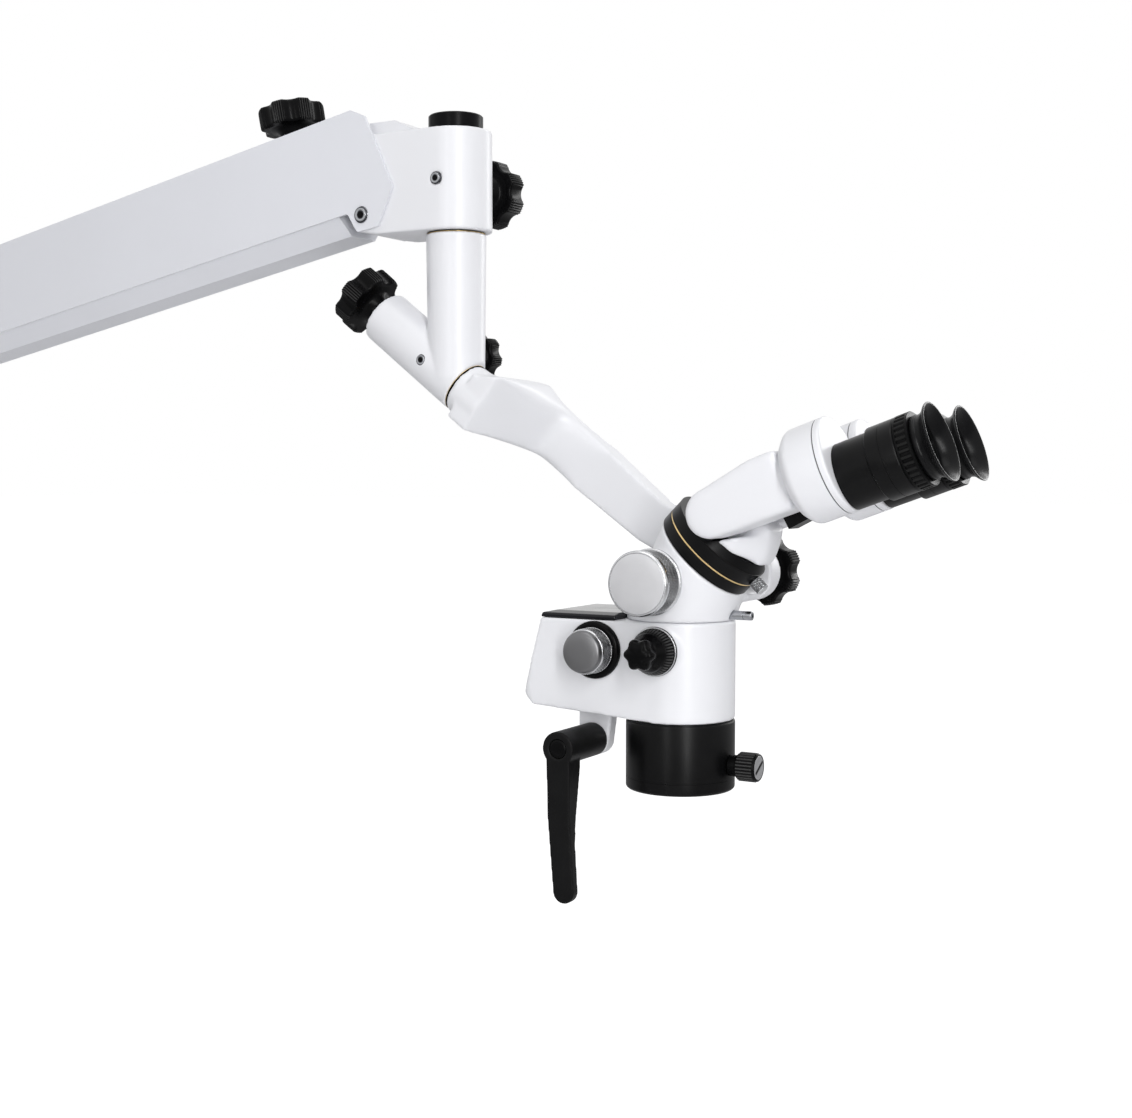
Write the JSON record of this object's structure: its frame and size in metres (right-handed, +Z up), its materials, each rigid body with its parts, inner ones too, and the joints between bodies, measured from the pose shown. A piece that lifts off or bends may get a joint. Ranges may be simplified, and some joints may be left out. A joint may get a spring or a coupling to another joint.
{
  "type": "surgical microscope on a sprung arm",
  "caption": "Surgical microscope head with tilting binocular tube, hung from a counterbalanced spring arm by a slanted swivel post and carrier arm, with clamp knobs and a handle.",
  "frame": {"origin": "on the axis of the rear spindle, at the shoulder where it leaves the rear block", "axes": "+Z up along the spindle's axis, +X along the spring arm towards the eyepieces, +Y to the far side, where the carrier arm passes"},
  "size_m": [1.0282, 0.1495, 0.5543],
  "materials": {
    "white_paint": "smooth semi-gloss powder paint",
    "white_sheet": "smooth semi-gloss powder paint on sheet",
    "black_plastic": "moulded, glossy",
    "black_anodised": "satin black anodised",
    "black_rubber": "soft matt rubber",
    "dark_cover": "glossy dark grey",
    "silver": "satin turned",
    "chrome": "polished",
    "brass": "satin",
    "steel": "ground",
    "spring_steel": "oiled spring wire",
    "coated_glass": "coated lens",
    "lamp_metal": "matt"
  },
  "bodies": {
    "rear_knuckle": {"rear_block": "white_paint", "rear_spindle": "steel", "rear_tie_pin": "steel"},
    "spring_arm": {"arm_housing": "white_sheet", "arm_lower_cover": "white_sheet", "arm_pivot_pins": "chrome", "balance_spring": "spring_steel", "spring_rod": "steel"},
    "lift_knob": {"arm_lift_knob": "black_plastic"},
    "tie_bar": {"tie_rod": "steel"},
    "front_knuckle": {"front_block": "white_paint", "front_tie_pin": "steel", "swivel_bushes": "brass", "swivel_cap": "black_plastic", "tie_slot_lid": "white_sheet", "block_screw": "chrome"},
    "swivel_knob": {"swivel_brake_knob": "black_plastic"},
    "post": {"swivel_post": "white_paint", "swivel_spindle": "steel", "tube_bushes": "brass"},
    "joint_knob": {"joint_clamp_knob": "black_plastic"},
    "carrier": {"carrier_arm": "white_paint", "carrier_axle": "steel"},
    "tube_knob": {"tube_end_knob": "black_plastic"},
    "head": {"head_casing": "white_paint", "casing_cover": "dark_cover", "neck_housing": "white_paint", "tilt_shaft": "steel", "tube_mount_ring": "black_anodised", "brass_ring": "brass", "index_stud": "chrome", "objective_barrel": "black_anodised", "led_module": "lamp_metal", "handle_bracket": "white_paint"},
    "tilt_knob": {"tilt_clamp_knob": "black_plastic"},
    "magnification": {"magnification_knob": "silver", "magnification_drum": "black_anodised"},
    "brightness": {"brightness_knob": "black_plastic"},
    "filter": {"filter_knob": "black_plastic"},
    "fine_focus": {"fine_focus_knob": "black_plastic"},
    "objective": {"objective_cell": "black_anodised", "objective_lens": "coated_glass"},
    "handle": {"handle_lever": "black_plastic"},
    "tube_mount": {"tube_turning_ring": "black_anodised", "tube_base": "white_paint", "trunnion_pin": "steel"},
    "tube_lock": {"tube_lock_screw": "silver"},
    "binocular": {"binocular_housing": "white_paint", "light_shield": "black_plastic"},
    "ocular_left": {"prism_drum_left": "white_paint", "eyepiece_tube_left": "black_anodised"},
    "ocular_right": {"prism_drum_right": "white_paint", "eyepiece_tube_right": "black_anodised"},
    "diopter_left": {"diopter_ring_left": "black_anodised", "eye_lens_left": "coated_glass", "eyecup_left": "black_rubber"},
    "diopter_right": {"diopter_ring_right": "black_anodised", "eye_lens_right": "coated_glass", "eyecup_right": "black_rubber"}
  },
  "joints": [
    {"name": "arm_lift", "type": "hinge", "parent": "rear_knuckle", "child": "spring_arm", "pos_m": [0.062, 0, 0.014], "axis": [0, -1, 0], "range_deg": [-40.8, 24.2]},
    {"name": "tie_bar_swing", "type": "hinge", "parent": "rear_knuckle", "child": "tie_bar", "pos_m": [0.062, 0, 0.059], "axis": [0, -1, 0], "range_deg": [-40.8, 24.2]},
    {"name": "front_knuckle_level", "type": "hinge", "parent": "spring_arm", "child": "front_knuckle", "pos_m": [0.57279, 0, 0.11144], "axis": [0, -1, 0], "range_deg": [-24.2, 40.8]},
    {"name": "lift_knob_turn", "type": "hinge", "parent": "spring_arm", "child": "lift_knob", "pos_m": [0.49205, 0, 0.17178], "axis": [-0.1874, 0, 0.9823], "range_deg": [-180, 180]},
    {"name": "swivel_knob_turn", "type": "hinge", "parent": "front_knuckle", "child": "swivel_knob", "pos_m": [0.63479, 0.0255, 0.13044], "axis": [0, 1, 0], "range_deg": [-180, 180]},
    {"name": "post_swivel", "type": "hinge", "parent": "front_knuckle", "child": "post", "pos_m": [0.63479, 0, 0.09744], "axis": [0, 0, 1], "range_deg": [-120, 120]},
    {"name": "joint_knob_turn", "type": "hinge", "parent": "post", "child": "joint_knob", "pos_m": [0.62931, 0.0194, 0.01286], "axis": [0, 1, 0], "range_deg": [-180, 180]},
    {"name": "carrier_turn", "type": "hinge", "parent": "post", "child": "carrier", "pos_m": [0.64249, 0, -0.01106], "axis": [0.7944, 0, -0.6074], "range_deg": [-75, 75]},
    {"name": "tube_knob_turn", "type": "hinge", "parent": "carrier", "child": "tube_knob", "pos_m": [0.57337, 0, 0.04178], "axis": [0.7944, 0, -0.6074], "range_deg": [-180, 180]},
    {"name": "head_tilt", "type": "hinge", "parent": "carrier", "child": "head", "pos_m": [0.84079, 0, -0.13756], "axis": [0, -1, 0], "range_deg": [-70, 8]},
    {"name": "tilt_knob_turn", "type": "hinge", "parent": "head", "child": "tilt_knob", "pos_m": [0.84079, 0.0555, -0.13756], "axis": [0, 1, 0], "range_deg": [-180, 180]},
    {"name": "magnification_turn", "type": "hinge", "parent": "head", "child": "magnification", "pos_m": [0.80919, -0.038, -0.14016], "axis": [0, -1, 0], "continuous": true},
    {"name": "brightness_turn", "type": "hinge", "parent": "head", "child": "brightness", "pos_m": [0.76689, -0.036, -0.18606], "axis": [0, -1, 0], "range_deg": [-150, 150]},
    {"name": "filter_turn", "type": "hinge", "parent": "head", "child": "filter", "pos_m": [0.81079, -0.036, -0.18486], "axis": [0, -1, 0], "range_deg": [-120, 120]},
    {"name": "fine_focus_turn", "type": "hinge", "parent": "head", "child": "fine_focus", "pos_m": [0.84729, 0, -0.26056], "axis": [1, 0, 0], "range_deg": [-735, 735]},
    {"name": "objective_slide", "type": "slide", "parent": "head", "child": "objective", "axis": [0, 0, 1], "range_m": [-0.004, 0.004]},
    {"name": "handle_swing", "type": "hinge", "parent": "head", "child": "handle", "pos_m": [0.75439, -0.04, -0.24856], "axis": [0, -1, 0], "range_deg": [-60, 60]},
    {"name": "tube_turn", "type": "hinge", "parent": "head", "child": "tube_mount", "pos_m": [0.82879, 0, -0.12406], "axis": [0.7071, 0, 0.7071], "range_deg": [-45, 45]},
    {"name": "tube_lock_turn", "type": "hinge", "parent": "tube_mount", "child": "tube_lock", "pos_m": [0.86344, 0, -0.13962], "axis": [0.7071, 0, -0.7071], "range_deg": [-180, 180]},
    {"name": "binocular_tilt", "type": "hinge", "parent": "tube_mount", "child": "binocular", "pos_m": [0.85129, 0, -0.09606], "axis": [0, -1, 0], "range_deg": [-8, 90]},
    {"name": "eye_spread_left", "type": "hinge", "parent": "binocular", "child": "ocular_left", "pos_m": [0.90531, -0.031, -0.07491], "axis": [0.9397, 0, 0.342], "range_deg": [-45, 35]},
    {"name": "eye_spread_right", "type": "hinge", "parent": "binocular", "child": "ocular_right", "pos_m": [0.90531, 0.031, -0.07491], "axis": [0.9397, 0, 0.342], "range_deg": [-35, 45]},
    {"name": "diopter_turn_left", "type": "hinge", "parent": "ocular_left", "child": "diopter_left", "pos_m": [0.97445, -0.031, -0.05932], "axis": [0.9397, 0, 0.342], "range_deg": [-150, 150]},
    {"name": "diopter_turn_right", "type": "hinge", "parent": "ocular_right", "child": "diopter_right", "pos_m": [0.97445, 0.031, -0.05932], "axis": [0.9397, 0, 0.342], "range_deg": [-150, 150]}
  ],
  "couplings": [
    {"joint": "tie_bar_swing", "follows": "arm_lift", "ratio": 1},
    {"joint": "front_knuckle_level", "follows": "arm_lift", "ratio": -1},
    {"joint": "fine_focus_turn", "follows": "objective_slide", "rad_per_m": 3141.6},
    {"joint": "eye_spread_right", "follows": "eye_spread_left", "ratio": -1}
  ]
}
